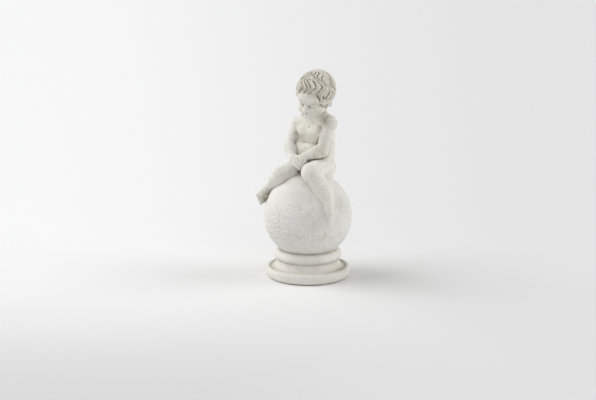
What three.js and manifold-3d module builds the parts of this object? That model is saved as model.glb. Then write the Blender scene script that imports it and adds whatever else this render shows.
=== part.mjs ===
// A small wingless child angel seated on a ball, cast in one piece with the ball and its turned foot.
// Millimetres, +Z up. The origin is on the ground at the axis of the foot, and the child looks along -Y.
// The foot and the ball are turned. The child is modelled as one blended form and meshed.
import * as THREE from "three";
import { mergeVertices } from "three/addons/utils/BufferGeometryUtils.js";
import Module from "manifold-3d";

// Driving dimensions of the turned foot and the ball, each as a radius from the axis or a height
const BALL_RADIUS = 112;
const BALL_CENTRE_Z = 159;
const UNDERSIDE_RADIUS = 99;
const RIM = { centre: 100, middle: 19, reach: 8, rise: 9 };
const CHANNEL = { radius: 95, z: 25 };
const COVE = { foot: 92.5, top: 80, low: 26, high: 47 };
const COLLAR = { centre: 74, middle: 58.5, bead: 13 };
const TURNED_SIDES = 44;

// Driving dimensions of the child: everything is placed from the top of the ball, where it sits
const SEAT_Z = BALL_CENTRE_Z + BALL_RADIUS;
const HEAD_BOW = THREE.MathUtils.degToRad(24);
const HEAD_LEAN = THREE.MathUtils.degToRad(9);
const HEAD_TURN = THREE.MathUtils.degToRad(-6);
const SOFT = 9;
const CREASE = 4;
const ROOT_BLEND = 4;
const ROOT_REACH = 18;
const ROOT_DEPTH = 10;

// Fineness of the faceted solid
const GRID = 2.8;
const CHILD_TRIANGLES = 6600;
const CHILD_BOX = { low: [-140, -100, 130], high: [125, 95, 550] };

const above = (x, y, rise) => [x, y, SEAT_Z + rise];

// Pose of the child, as the places of its joints
const PELVIS = above(10, 30, 20);
const BELLY = above(7, 12, 54);
const BACK = above(13, 28, 62);
const WIDE_BACK = above(12, 26, 100);
const FLANK = [above(-26, 12, 100), above(-20, -5, 47)];
const RIBS = above(9, 18, 96);
const NECK = above(12, 24, 138);
const SHOULDER_HOLLOW = above(51, -11, 139);
const HEAD = above(9, 15, 198);
const LEFT = {
  shoulder: above(56, 14, 129),
  elbow: above(48, -9, 61),
  wrist: above(16, -38, 48),
  palm: above(5, -44, 37),
  hip: above(39, 19, 16),
  knee: above(50, -58, 13),
  calf: above(79, -43, -37),
  ankle: above(94, -45, -69),
  toes: above(94, -47, -106),
  seat: [above(44, 14, 2), above(70, -22, -22)],
  girth: { hip: 27.5, knee: 24.5, calf: 21.5, ankle: 12.5 },
};
const RIGHT = {
  shoulder: above(-37, 9, 118),
  elbow: above(-49, -9, 63),
  wrist: above(-20, -40, 42),
  palm: above(-7, -50, 37),
  hip: above(-15, 8, 12),
  knee: above(-55, -47, -9.5),
  calf: above(-68, -50, -21),
  ankle: above(-103, -33, -52),
  toes: above(-112, -60, -74),
  seat: [above(-18, 14, 2), above(-45, -22, -20)],
  girth: { hip: 31, knee: 22, calf: 15.5, ankle: 10.5 },
};

// Forms: each is a function of a place that gives its distance outside (above 0) or inside (below 0)

// A round bar between two places, with its own radius at each.
function limb(from, to, fromRadius, toRadius) {
  const [ax, ay, az] = from;
  const [dx, dy, dz] = [to[0] - ax, to[1] - ay, to[2] - az];
  const squared = dx * dx + dy * dy + dz * dz;
  return (x, y, z) => {
    const along = ((x - ax) * dx + (y - ay) * dy + (z - az) * dz) / squared;
    const t = Math.min(1, Math.max(0, along));
    const reach = Math.hypot(x - ax - t * dx, y - ay - t * dy, z - az - t * dz);
    return reach - fromRadius - t * (toRadius - fromRadius);
  };
}

function egg([cx, cy, cz], [rx, ry, rz]) {
  return (x, y, z) => {
    const [px, py, pz] = [(x - cx) / rx, (y - cy) / ry, (z - cz) / rz];
    const near = Math.hypot(px, py, pz);
    const slope = Math.hypot(px / rx, py / ry, pz / rz);
    return slope < 1e-9 ? -Math.min(rx, ry, rz) : (near * (near - 1)) / slope;
  };
}

const ball = (centre, radius) => egg(centre, [radius, radius, radius]);

function smoothMin(a, b, softness) {
  const share = Math.max(softness - Math.abs(a - b), 0) / softness;
  return Math.min(a, b) - (share * share * softness) / 4;
}

// Forms melted into one another over a width of softness.
function blend(softness, ...forms) {
  return (x, y, z) => {
    let distance = forms[0](x, y, z);
    for (let i = 1; i < forms.length; i++) distance = smoothMin(distance, forms[i](x, y, z), softness);
    return distance;
  };
}

// A form with others cut out of it, with the edges eased over a width of softness.
function carve(softness, form, ...cuts) {
  const away = blend(softness, ...cuts);
  return (x, y, z) => -smoothMin(-form(x, y, z), away(x, y, z), softness);
}

// A form that is only worked out near its own bounding ball.
function within(centre, radius, form) {
  const bound = ball(centre, radius);
  return (x, y, z) => {
    const distance = bound(x, y, z);
    return distance > 2 * SOFT ? distance : form(x, y, z);
  };
}

// A form described in a frame of its own, set in place by a matrix.
function placed(matrix, form) {
  const e = matrix.clone().invert().elements;
  return (x, y, z) =>
    form(
      e[0] * x + e[4] * y + e[8] * z + e[12],
      e[1] * x + e[5] * y + e[9] * z + e[13],
      e[2] * x + e[6] * y + e[10] * z + e[14],
    );
}

// A bar through several places, with radii worked out along it.
function strand(places, radiusAt) {
  const bars = [];
  for (let i = 1; i < places.length; i++) {
    const [from, to] = [(i - 1) / (places.length - 1), i / (places.length - 1)];
    bars.push(limb(places[i - 1], places[i], radiusAt(from), radiusAt(to)));
  }
  return (x, y, z) => Math.min(...bars.map((bar) => bar(x, y, z)));
}

const between = (a, b, t) => a.map((value, i) => value + t * (b[i] - value));
const shifted = (a, dx, dy, dz) => [a[0] + dx, a[1] + dy, a[2] + dz];

// Trunk: pelvis, round belly, ribs with a soft breast, wide back, neck, and shoulders, the left one hollowed
function trunk() {
  const seat = [-17, 17].map((side) => egg(shifted(PELVIS, side, 5, -16), [25, 26, 28]));
  const breast = [-19, 17].map((side) => egg(shifted(RIBS, side, -25, 11), [19, 10, 15]));
  const blades = [-20, 26].map((side) => egg(shifted(RIBS, side, 24, 16), [15, 9, 19]));
  const chest = blend(8, egg(RIBS, [41, 31, 37]), ...breast);
  const shoulders = [LEFT, RIGHT].map((side) => limb(NECK, side.shoulder, 24, 19.5));
  const whole = blend(
    SOFT,
    egg(PELVIS, [44, 36, 34]),
    egg(BACK, [46, 34, 66]),
    egg(WIDE_BACK, [48, 28, 36]),
    ...seat,
    blend(2.5, egg(BELLY, [39, 33, 31]), chest),
    ...shoulders,
    ...blades,
    limb(...FLANK, 14, 16),
    limb(NECK, shifted(HEAD, 0, 2, -34), 23, 23),
  );
  const spine = limb(shifted(BACK, 0, 38, -34), shifted(NECK, 2, 30, -16), 4, 4);
  const cleft = limb(shifted(PELVIS, 0, 41, -24), shifted(PELVIS, 0, 39, 2), 3.5, 2.5);
  return within(BELLY, 105, carve(SOFT, whole, spine, cleft, egg(SHOULDER_HOLLOW, [16, 12, 9])));
}

// An arm that hangs from the shoulder and reaches to the lap
function arm(side) {
  const upper = between(side.shoulder, side.elbow, 0.45);
  const middle = between(side.elbow, side.wrist, 0.35);
  return blend(
    SOFT,
    limb(side.shoulder, upper, 19, 15.5),
    limb(upper, side.elbow, 15.5, 14.5),
    limb(side.elbow, middle, 14.5, 15),
    limb(middle, side.wrist, 15, 10),
  );
}

// The right hand lies on the left one, its fingers over the edge
const FINGERS = 4;
const FINGER_RADIUS = 4;
const KNUCKLE_INDEX = above(10, -49, 48);
const KNUCKLE_LITTLE = above(1, -62, 30);
const FINGER_BEND = [7, 0, -4];
const FINGER_TIP = [5, 5, -7];

function hands() {
  const palms = [
    limb(LEFT.wrist, LEFT.palm, 10, 11),
    limb(RIGHT.wrist, RIGHT.palm, 10.5, 12.5),
    limb(RIGHT.palm, between(KNUCKLE_INDEX, KNUCKLE_LITTLE, 0.25), 11, 5),
    limb(RIGHT.palm, between(KNUCKLE_INDEX, KNUCKLE_LITTLE, 0.8), 11, 5),
  ];
  const fingers = [];
  for (let i = 0; i < FINGERS; i++) {
    const knuckle = between(KNUCKLE_INDEX, KNUCKLE_LITTLE, i / (FINGERS - 1));
    const bend = shifted(knuckle, ...FINGER_BEND);
    const places = [knuckle, bend, shifted(bend, ...FINGER_TIP)];
    fingers.push(strand(places, (t) => FINGER_RADIUS * (1.1 - 0.2 * t)));
  }
  const digits = (x, y, z) => Math.min(...fingers.map((finger) => finger(x, y, z)));
  return within(RIGHT.palm, 60, blend(2, blend(SOFT, ...palms), digits));
}

// A leg over the ball, whose thigh fills the corner that it sits in
function leg({ hip, knee, calf, ankle, seat, girth }) {
  return blend(
    SOFT,
    limb(hip, knee, girth.hip, girth.knee),
    limb(knee, calf, girth.knee - 1, girth.calf),
    limb(calf, ankle, girth.calf, girth.ankle),
    limb(...seat, girth.hip - 7, girth.knee - 6),
  );
}

// The right foot hangs free, with its toes in a row from the big toe to the little one
const TOES = 5;
const BIG_TOE = above(-104, -62, -84);
const LITTLE_TOE = above(-120, -57, -65);
const FOOT_PAD = above(-108, -48, -79);

function rightFoot() {
  const heel = shifted(RIGHT.ankle, 4, 5, -8);
  const sole = limb(RIGHT.ankle, between(RIGHT.ankle, RIGHT.toes, 0.6), 11, 10.5);
  const toes = [];
  for (let i = 0; i < TOES; i++) {
    const tip = between(BIG_TOE, LITTLE_TOE, i / (TOES - 1));
    const root = between(RIGHT.ankle, tip, 0.62);
    toes.push(limb(root, tip, 6, 4.4 - 0.3 * i));
  }
  return blend(2, blend(SOFT, sole, ball(heel, 9), ball(FOOT_PAD, 7)), ...toes);
}

// The left foot is worn smooth and sinks into the ball
function leftFoot() {
  const instep = between(LEFT.ankle, LEFT.toes, 0.5);
  return blend(SOFT, limb(LEFT.ankle, instep, 12.5, 11), limb(instep, LEFT.toes, 11, 11));
}

// Head, in a frame of its own: the face looks along -y, and the crown is +z
const SKULL = { centre: [0, 8, 8], radii: [44, 51, 45] };
const EYE = { x: 16.2, y: -27.5, z: -12, radius: 9.6 };
const EAR = { x: 37, y: 7, z: -19, radii: [4, 7, 10], rimOut: 3, rimDeep: 6.5, rimHigh: 9.5 };
const EAR_RIM = [-0.7, 0.5, 1.7, 3];

// A calm child's face, with lowered lids
function face() {
  const paired = (make) => [-1, 1].map(make);
  const bare = blend(
    SOFT,
    egg(SKULL.centre, SKULL.radii),
    egg([0, -9, -25], [34, 33, 36]),
    ball([0, -30, -51], 12),
    egg([0, -30, -40], [17, 11, 11]),
    ...paired((s) => ball([s * 19, -22, -29], 16.5)),
  );
  const socketed = carve(6, bare, ...paired((s) => egg([s * EYE.x, -45, EYE.z + 1], [12, 9, 8])));
  const arch = (s) => [[s * 7, -37, 0.5], [s * 16, -36, 4], [s * 27, -28, -1]];
  const brows = paired((s) => strand(arch(s), () => 2.7));
  const lids = paired((s) =>
    blend(
      0.5,
      ball([s * EYE.x, EYE.y, EYE.z], EYE.radius),
      egg([s * EYE.x, EYE.y - 0.6, EYE.z + 2.8], [10.8, 10.4, 6.6]),
    ),
  );
  const nose = blend(
    4,
    limb([0, -35, -7], [0, -39, -16], 4, 4.2),
    limb([0, -39, -16], [0, -43.6, -24.5], 4.2, 6),
    ...paired((s) => ball([s * 5.8, -40, -27], 4)),
  );
  const lips = blend(
    1.5,
    ...paired((s) => limb([s * 2, -40.8, -38.4], [s * 10, -37.4, -40.4], 2.8, 1.6)),
    ...paired((s) => limb([0, -40.4, -44.4], [s * 8, -37.6, -43], 3.5, 1.9)),
  );
  const browed = blend(SOFT, socketed, ...brows);
  const featured = blend(3, blend(4, blend(2, browed, ...lids), nose), lips);
  return carve(2, featured, ...paired((s) => limb([0, -44.3, -41.2], [s * 10, -40.6, -41.4], 1.2, 0.8)));
}

// Small ears, each a flat shell with a raised rim that ends in a lobe
function ears() {
  const shells = [];
  for (const side of [-1, 1]) {
    const rim = EAR_RIM.map((angle) => [
      side * (EAR.x + EAR.rimOut),
      EAR.y + EAR.rimDeep * Math.sin(angle),
      EAR.z + EAR.rimHigh * Math.cos(angle),
    ]);
    shells.push(egg([side * EAR.x, EAR.y, EAR.z], EAR.radii), strand(rim, (t) => 1.8 + t ** 4));
  }
  return shells;
}

// Hair: a thick cap over the skull, cut by wavy grooves in rows from the crown to the hairline
const CROWN_TILT = THREE.MathUtils.degToRad(18);
const CAP = { lift: 5.5, edge: 0.34 };
const HAIR_ROWS = [
  { grooves: 8, offset: 0, from: 0.05, to: 0.56, widths: [1.2, 2.6, 1.2] },
  { grooves: 8, offset: 0.5, from: 0.2, to: 0.82, widths: [1.2, 2.6, 1.2] },
  { grooves: 16, offset: 0.5, from: 0.46, to: 0.98, widths: [1.2, 2.5, 0.8] },
  { grooves: 16, offset: 0, from: 0.76, to: 0.99, widths: [1.2, 2.4, 0.8] },
];
const GROOVE_STEPS = 6;
const GROOVE_REACH = 36;
const HAIR_TWIST = 0.45;
const HAIR_WAVE = 0.16;
const HAIR_WAVES = 1.8;
const CURLS = { count: 22, spread: THREE.MathUtils.degToRad(118), radius: 6.5, swell: 2.5 };

// How far from the crown the hair reaches, as an angle, at an angle round the head from the brow.
function hairline(round) {
  const [brow, temple, nape] = [88, 131, 136];
  const back = (1 - Math.cos(round)) / 2;
  const side = Math.sin(round) ** 2;
  return THREE.MathUtils.degToRad(brow + back * (nape - brow) + side * (temple - (brow + nape) / 2));
}

// A place on the hair, lifted above the skull, from its angle off the crown and its angle round the head.
function onScalp(off, round, lift) {
  const direction = new THREE.Vector3(
    Math.sin(off) * Math.sin(round),
    -Math.sin(off) * Math.cos(round),
    Math.cos(off),
  ).applyAxisAngle(new THREE.Vector3(1, 0, 0), -CROWN_TILT);
  const stretch = direction.toArray().map((value, i) => value / (SKULL.radii[i] + lift));
  const reach = 1 / Math.hypot(...stretch);
  return direction.multiplyScalar(reach).toArray().map((value, i) => value + SKULL.centre[i]);
}

// How thick the hair is, by its share of the way from the crown to the hairline.
function capLift(reach) {
  const edge = THREE.MathUtils.clamp((1 - reach) / CAP.edge, 0, 1);
  return CAP.lift * Math.sqrt(edge * (2 - edge));
}

// The mass of hair, which thins out to nothing at the hairline.
function cap() {
  const skull = egg(SKULL.centre, SKULL.radii);
  const [cos, sin] = [Math.cos(CROWN_TILT), Math.sin(CROWN_TILT)];
  return (x, y, z) => {
    const [px, py, pz] = [x - SKULL.centre[0], y - SKULL.centre[1], z - SKULL.centre[2]];
    const [forward, up] = [-(py * cos - pz * sin), py * sin + pz * cos];
    const off = Math.atan2(Math.hypot(px, forward), up);
    return skull(x, y, z) - capLift(off / hairline(Math.atan2(px, forward)));
  };
}

// The angle round the head of a hair that leaves the crown at an angle, a share of the way to the hairline.
function hairFlow(round, share) {
  const lag = 0.9 * Math.sin(2 * round) + 0.7 * Math.sin(3 * round);
  const sway = Math.sin(2 * Math.PI * HAIR_WAVES * share + lag);
  return round + HAIR_TWIST * share + (HAIR_WAVE * sway) / Math.max(Math.sin(1.6 * share), 0.45);
}

// Grooves in rows, which follow the hair.
function hairGrooves() {
  const cuts = [];
  for (const [row, { grooves, offset, from, to, widths }] of HAIR_ROWS.entries()) {
    for (let i = 0; i < grooves; i++) {
      const stray = Math.sin(7.3 * i + 2.1 * row);
      const other = Math.sin(4.7 * i + 1.3 * row);
      const round = ((i + offset + 0.15 * stray) / grooves) * 2 * Math.PI;
      const [start, end] = [from + 0.04 * other, to + 0.03 * stray];
      const places = [];
      for (let step = 0; step <= GROOVE_STEPS; step++) {
        const share = start + ((end - start) * step) / GROOVE_STEPS;
        const turned = hairFlow(round, share);
        places.push(onScalp(share * hairline(turned), turned, capLift(share)));
      }
      const widthAt = (t) => widths[1] + Math.abs(2 * t - 1) * (widths[t < 0.5 ? 0 : 2] - widths[1]);
      cuts.push(within(places[GROOVE_STEPS / 2], GROOVE_REACH, strand(places, widthAt)));
    }
  }
  return cuts;
}

// Clumps of hair along the hairline, from one temple round the nape to the other.
function curls() {
  const clumps = [];
  for (let i = 0; i < CURLS.count; i++) {
    const turned = Math.PI + CURLS.spread * ((2 * i) / (CURLS.count - 1) - 1);
    const off = hairline(turned) * (0.97 + 0.04 * Math.sin(2.6 * i));
    const radius = CURLS.radius + CURLS.swell * Math.sin(turned) ** 2 + Math.sin(4.1 * i);
    clumps.push(ball(onScalp(off, turned, 0.5), radius));
  }
  return clumps;
}

function head() {
  const turn = new THREE.Euler(HEAD_BOW, HEAD_LEAN, HEAD_TURN, "ZXY");
  const matrix = new THREE.Matrix4().makeRotationFromEuler(turn).setPosition(...HEAD);
  const haired = carve(3, blend(2, face(), cap(), ...curls()), ...hairGrooves());
  return within(HEAD, 78, placed(matrix, blend(1.5, haired, ...ears())));
}

// The child, with a small fillet where it grows out of the ball, and hollowed where the ball fills it
function child() {
  const figure = blend(
    CREASE,
    blend(SOFT, trunk(), leg(LEFT), leg(RIGHT), leftFoot(), rightFoot()),
    arm(LEFT),
    arm(RIGHT),
    hands(),
    head(),
  );
  const seat = [0, 0, BALL_CENTRE_Z];
  const skin = ball(seat, BALL_RADIUS - 1);
  const core = ball(seat, BALL_RADIUS - ROOT_DEPTH);
  return (x, y, z) => {
    const distance = figure(x, y, z);
    return Math.max(smoothMin(distance, skin(x, y, z), ROOT_BLEND), -core(x, y, z), distance - ROOT_REACH);
  };
}

// Meshing: each grid cube is cut into six tetrahedra, and the surface crosses their edges
const TETRAHEDRA = [
  [0, 1, 3, 7],
  [0, 1, 5, 7],
  [0, 2, 3, 7],
  [0, 2, 6, 7],
  [0, 4, 5, 7],
  [0, 4, 6, 7],
];

// A crossing keeps this share of its edge away from the grid's corners, so that no facet is a sliver.
const NEAR_CORNER = 0.05;

function meshed(form, low, high, step) {
  const size = low.map((value, i) => Math.ceil((high[i] - value) / step) + 1);
  const strides = [1, size[0], size[0] * size[1]];
  const cornerAt = (c) => (c & 1) + ((c >> 1) & 1) * strides[1] + (c >> 2) * strides[2];
  const corners = [...Array(8).keys()].map(cornerAt);
  const values = new Float64Array(size[0] * size[1] * size[2]);
  const placeOf = (n) => [
    low[0] + (n % size[0]) * step,
    low[1] + (Math.floor(n / size[0]) % size[1]) * step,
    low[2] + Math.floor(n / strides[2]) * step,
  ];
  for (let n = 0; n < values.length; n++) values[n] = form(...placeOf(n)) || 1e-9;

  const places = [];
  const known = new Map();
  const crossing = (cell, a, b) => {
    const [low, high] = a < b ? [a, b] : [b, a];
    const key = (cell + corners[low]) * 8 + (high - low);
    if (!known.has(key)) {
      const [n, m] = [cell + corners[low], cell + corners[high]];
      const t = THREE.MathUtils.clamp(values[n] / (values[n] - values[m]), NEAR_CORNER, 1 - NEAR_CORNER);
      places.push(between(placeOf(n), placeOf(m), t));
      known.set(key, places.length - 1);
    }
    return known.get(key);
  };
  const triangles = [];
  const face = (cell, a, b, c, inner, outer) => {
    const [p, q, r] = [a, b, c].map((v) => new THREE.Vector3(...places[v]));
    const out = new THREE.Vector3(...placeOf(cell + corners[outer]));
    out.sub(new THREE.Vector3(...placeOf(cell + corners[inner])));
    const facing = q.sub(p).cross(r.sub(p)).dot(out);
    triangles.push(facing > 0 ? [a, b, c] : [a, c, b]);
  };
  for (let n = 0; n < values.length - corners[7]; n++) {
    const cut = corners.some((corner) => values[n + corner] < 0 !== values[n] < 0);
    if (!cut || n % size[0] === size[0] - 1 || Math.floor(n / size[0]) % size[1] === size[1] - 1) continue;
    for (const tetrahedron of TETRAHEDRA) {
      const inside = tetrahedron.filter((c) => values[n + corners[c]] < 0);
      const outside = tetrahedron.filter((c) => values[n + corners[c]] >= 0);
      if (inside.length === 2) {
        const [a, b] = inside;
        const [c, d] = outside;
        const ring = [crossing(n, a, c), crossing(n, a, d), crossing(n, b, d), crossing(n, b, c)];
        face(n, ring[0], ring[1], ring[2], a, c);
        face(n, ring[0], ring[2], ring[3], a, c);
      } else if (inside.length === 1 || outside.length === 1) {
        const [lone] = inside.length === 1 ? inside : outside;
        const others = inside.length === 1 ? outside : inside;
        const [a, b, c] = others.map((other) => crossing(n, lone, other));
        face(n, a, b, c, inside[0], outside[0]);
      }
    }
  }
  return { places, triangles };
}

// Thinning: the flattest edges are drawn together first, until the wanted number of triangles is left.
// A corner's quadric sums the squared distances to the planes of the triangles that meet there.
const HOLD = 1e-3;
const LEAST_TURN = 0.3;

const minus = (a, b) => [a[0] - b[0], a[1] - b[1], a[2] - b[2]];
const dot = (a, b) => a[0] * b[0] + a[1] * b[1] + a[2] * b[2];
const cross = (a, b) => [a[1] * b[2] - a[2] * b[1], a[2] * b[0] - a[0] * b[2], a[0] * b[1] - a[1] * b[0]];
const normal = (a, b, c) => cross(minus(b, a), minus(c, a));

function addPlane(quadric, [a, b, c], d, weight) {
  const terms = [a * a, a * b, a * c, a * d, b * b, b * c, b * d, c * c, c * d, d * d];
  terms.forEach((term, i) => (quadric[i] += weight * term));
}

// The place with the least error, and that error.
function bestPlace(q) {
  const [rowX, rowY, rowZ] = [[q[0], q[1], q[2]], [q[1], q[4], q[5]], [q[2], q[5], q[7]]];
  const [byX, byY, byZ] = [cross(rowY, rowZ), cross(rowZ, rowX), cross(rowX, rowY)];
  const scale = -1 / dot(rowX, byX);
  const place = [0, 1, 2].map((i) => scale * (byX[i] * q[3] + byY[i] * q[6] + byZ[i] * q[8]));
  return [place, dot(place, [q[3], q[6], q[8]]) + q[9]];
}

// A queue that gives back the entry with the least cost first.
class Queue {
  entries = [];

  push(entry) {
    const { entries } = this;
    let i = entries.push(entry) - 1;
    for (let up = (i - 1) >> 1; i > 0 && entries[up].cost > entry.cost; up = (i - 1) >> 1) {
      entries[i] = entries[up];
      i = up;
    }
    entries[i] = entry;
  }

  pop() {
    const { entries } = this;
    const first = entries[0];
    const last = entries.pop();
    for (let i = 0; entries.length > 0; ) {
      let next = 2 * i + 1;
      if (next + 1 < entries.length && entries[next + 1].cost < entries[next].cost) next += 1;
      if (next >= entries.length || entries[next].cost >= last.cost) {
        entries[i] = last;
        break;
      }
      entries[i] = entries[next];
      i = next;
    }
    return first;
  }
}

function thinned({ places, triangles }, wanted) {
  const quadrics = places.map(() => new Float64Array(10));
  const around = places.map(() => new Set());
  const rounds = new Uint32Array(places.length);
  for (const [face, corners] of triangles.entries()) {
    const facing = normal(...corners.map((v) => places[v]));
    const area = Math.hypot(...facing);
    const unit = facing.map((value) => value / area);
    for (const v of corners) {
      addPlane(quadrics[v], unit, -dot(unit, places[v]), area);
      addPlane(quadrics[v], [1, 0, 0], -places[v][0], HOLD * area);
      addPlane(quadrics[v], [0, 1, 0], -places[v][1], HOLD * area);
      addPlane(quadrics[v], [0, 0, 1], -places[v][2], HOLD * area);
      around[v].add(face);
    }
  }
  const neighbours = (v) => new Set([...around[v]].flatMap((face) => triangles[face]).filter((w) => w !== v));
  const queue = new Queue();
  const enqueue = (a, b) => {
    const [place, cost] = bestPlace(quadrics[a].map((value, i) => value + quadrics[b][i]));
    queue.push({ cost, place, a, b, round: rounds[a] + rounds[b] });
  };
  for (const [a, b, c] of triangles) {
    if (a < b) enqueue(a, b);
    if (b < c) enqueue(b, c);
    if (c < a) enqueue(c, a);
  }

  // Whether the triangles round one end of an edge, but not the other, keep facing the same way.
  const keepsFacing = (v, other, place) =>
    [...around[v]].every((face) => {
      const corners = triangles[face];
      if (corners.includes(other)) return true;
      const before = normal(...corners.map((w) => places[w]));
      const after = normal(...corners.map((w) => (w === v ? place : places[w])));
      return dot(before, after) > LEAST_TURN * Math.hypot(...before) * Math.hypot(...after);
    });

  let left = triangles.length;
  while (left > wanted && queue.entries.length > 0) {
    const { place, a, b, round } = queue.pop();
    if (around[a].size === 0 || around[b].size === 0 || round !== rounds[a] + rounds[b]) continue;
    const nearB = neighbours(b);
    const shared = [...neighbours(a)].filter((v) => nearB.has(v));
    if (shared.length !== 2 || !keepsFacing(a, b, place) || !keepsFacing(b, a, place)) continue;
    for (const face of around[b]) {
      const corners = triangles[face];
      if (corners.includes(a)) {
        for (const v of corners) if (v !== b) around[v].delete(face);
        left -= 1;
      } else {
        corners[corners.indexOf(b)] = a;
        around[a].add(face);
      }
    }
    around[b].clear();
    places[a] = place;
    quadrics[b].forEach((value, i) => (quadrics[a][i] += value));
    rounds[a] += 1;
    for (const v of neighbours(a)) enqueue(a, v);
  }

  const kept = [...new Set(around.flatMap((faces) => [...faces]))];
  const renumbered = new Map();
  const number = (v) => {
    if (!renumbered.has(v)) renumbered.set(v, renumbered.size);
    return renumbered.get(v);
  };
  return {
    triangles: kept.map((face) => triangles[face].map(number)),
    places: [...renumbered.keys()].map((v) => places[v]),
  };
}

// The foot and the ball, turned in one profile from the middle of the underside to the top of the ball
function turnedProfile() {
  const points = [[0, 0]];
  const sweep = (steps, from, to, at) => {
    for (let i = 0; i <= steps; i++) {
      points.push(at(THREE.MathUtils.degToRad(from + ((to - from) * i) / steps)));
    }
  };
  points.push([UNDERSIDE_RADIUS, 0]);
  sweep(4, -75, 0, (a) => [RIM.centre + RIM.reach * Math.cos(a), RIM.middle + RIM.middle * Math.sin(a)]);
  sweep(3, 30, 90, (a) => [RIM.centre + RIM.reach * Math.cos(a), RIM.middle + RIM.rise * Math.sin(a)]);
  points.push([CHANNEL.radius, CHANNEL.z]);
  const [flare, climb] = [COVE.foot - COVE.top, COVE.high - COVE.low];
  sweep(5, 0, 90, (a) => [COVE.foot - flare * Math.sin(a), COVE.high - climb * Math.cos(a)]);
  const { centre, middle, bead } = COLLAR;
  sweep(7, -53, 88, (a) => [centre + bead * Math.cos(a), middle + bead * Math.sin(a)]);
  sweep(17, -52, 90, (a) => [BALL_RADIUS * Math.cos(a), BALL_CENTRE_Z + BALL_RADIUS * Math.sin(a)]);
  points[points.length - 1][0] = 0;
  return points.map(([radius, z]) => new THREE.Vector2(radius, z));
}

const wasm = await Module();
wasm.setup();

function solidOf(geometry) {
  geometry.deleteAttribute("normal");
  geometry.deleteAttribute("uv");
  const merged = mergeVertices(geometry);
  const vertProperties = new Float32Array(merged.attributes.position.array);
  const triVerts = new Uint32Array(merged.index.array);
  return new wasm.Manifold(new wasm.Mesh({ numProp: 3, vertProperties, triVerts }));
}

function geometryOf({ vertProperties, triVerts }) {
  const geometry = new THREE.BufferGeometry();
  geometry.setAttribute("position", new THREE.BufferAttribute(vertProperties, 3));
  geometry.setIndex(new THREE.BufferAttribute(triVerts, 1));
  geometry.computeVertexNormals();
  return geometry;
}

function childSolid() {
  const fine = meshed(child(), CHILD_BOX.low, CHILD_BOX.high, GRID);
  const { places, triangles } = thinned(fine, CHILD_TRIANGLES);
  const vertProperties = new Float32Array(places.flat());
  const triVerts = new Uint32Array(triangles.flat());
  return new wasm.Manifold(new wasm.Mesh({ numProp: 3, vertProperties, triVerts }));
}

const turned = solidOf(new THREE.LatheGeometry(turnedProfile(), TURNED_SIDES).rotateX(Math.PI / 2));
const castStone = new THREE.MeshStandardMaterial({ color: 0xdedcd4, roughness: 0.9, metalness: 0 });
const statue = new THREE.Mesh(geometryOf(turned.add(childSolid()).getMesh()), castStone);
statue.name = "angel_statue";

const part = new THREE.Group();
part.add(statue);
export default part;
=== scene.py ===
"""A weathered cast stone child angel on a ball, with the studio that it stands in."""

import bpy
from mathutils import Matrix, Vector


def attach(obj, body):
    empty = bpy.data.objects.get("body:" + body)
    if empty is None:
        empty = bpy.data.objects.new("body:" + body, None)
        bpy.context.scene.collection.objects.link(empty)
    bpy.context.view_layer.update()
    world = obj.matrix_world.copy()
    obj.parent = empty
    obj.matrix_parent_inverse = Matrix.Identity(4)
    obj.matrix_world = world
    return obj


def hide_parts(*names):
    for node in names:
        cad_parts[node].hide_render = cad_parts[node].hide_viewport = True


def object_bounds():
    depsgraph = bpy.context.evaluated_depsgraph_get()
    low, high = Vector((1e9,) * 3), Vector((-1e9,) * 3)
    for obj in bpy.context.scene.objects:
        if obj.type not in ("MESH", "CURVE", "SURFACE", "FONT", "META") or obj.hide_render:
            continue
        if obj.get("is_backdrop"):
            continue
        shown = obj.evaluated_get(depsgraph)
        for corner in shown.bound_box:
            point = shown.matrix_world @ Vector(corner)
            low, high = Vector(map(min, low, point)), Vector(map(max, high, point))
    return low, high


bl_info = {
    "name": "Grave Angel Statue",
    "version": (1, 0, 0),
    "blender": (4, 5, 0),
    "location": "3D View > Sidebar > Statue",
    "description": "Casts a seated child angel in weathered stone and lights it in a plain studio",
    "category": "Object",
}

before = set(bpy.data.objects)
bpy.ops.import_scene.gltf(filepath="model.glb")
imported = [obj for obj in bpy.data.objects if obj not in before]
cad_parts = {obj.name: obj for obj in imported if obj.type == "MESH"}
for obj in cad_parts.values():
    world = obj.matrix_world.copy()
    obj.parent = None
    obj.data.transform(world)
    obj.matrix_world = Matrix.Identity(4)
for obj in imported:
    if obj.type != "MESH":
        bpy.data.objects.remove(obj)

import math

import bmesh
import bpy
import numpy as np
import openvdb
from bpy.props import FloatProperty, FloatVectorProperty, IntProperty, PointerProperty
from mathutils import Matrix, Vector

NODE = "angel_statue"
CAD_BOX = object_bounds()

# Sizes of the turned foot and the ball, in millimetres, each as a radius from the axis or a height
MM = 0.001
BALL_RADIUS = 112
BALL_CENTRE_Z = 159
UNDERSIDE_RADIUS = 99
RIM_CENTRE, RIM_MIDDLE, RIM_REACH, RIM_RISE = 100, 19, 8, 9
CHANNEL_RADIUS, CHANNEL_Z = 95, 25
COVE_FOOT, COVE_TOP, COVE_LOW, COVE_HIGH = 92.5, 80, 26, 47
COLLAR_CENTRE, COLLAR_MIDDLE, COLLAR_BEAD = 74, 58.5, 13

# The child: everything is placed from the top of the ball, where it sits
SEAT_Z = BALL_CENTRE_Z + BALL_RADIUS
HEAD_BOW = math.radians(24)
HEAD_LEAN = math.radians(9)
HEAD_TURN = math.radians(-6)
SOFT = 9
CREASE = 4


def above(x, y, rise):
    """A place by its height over the top of the ball."""
    return np.array([x, y, SEAT_Z + rise], float)


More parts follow.
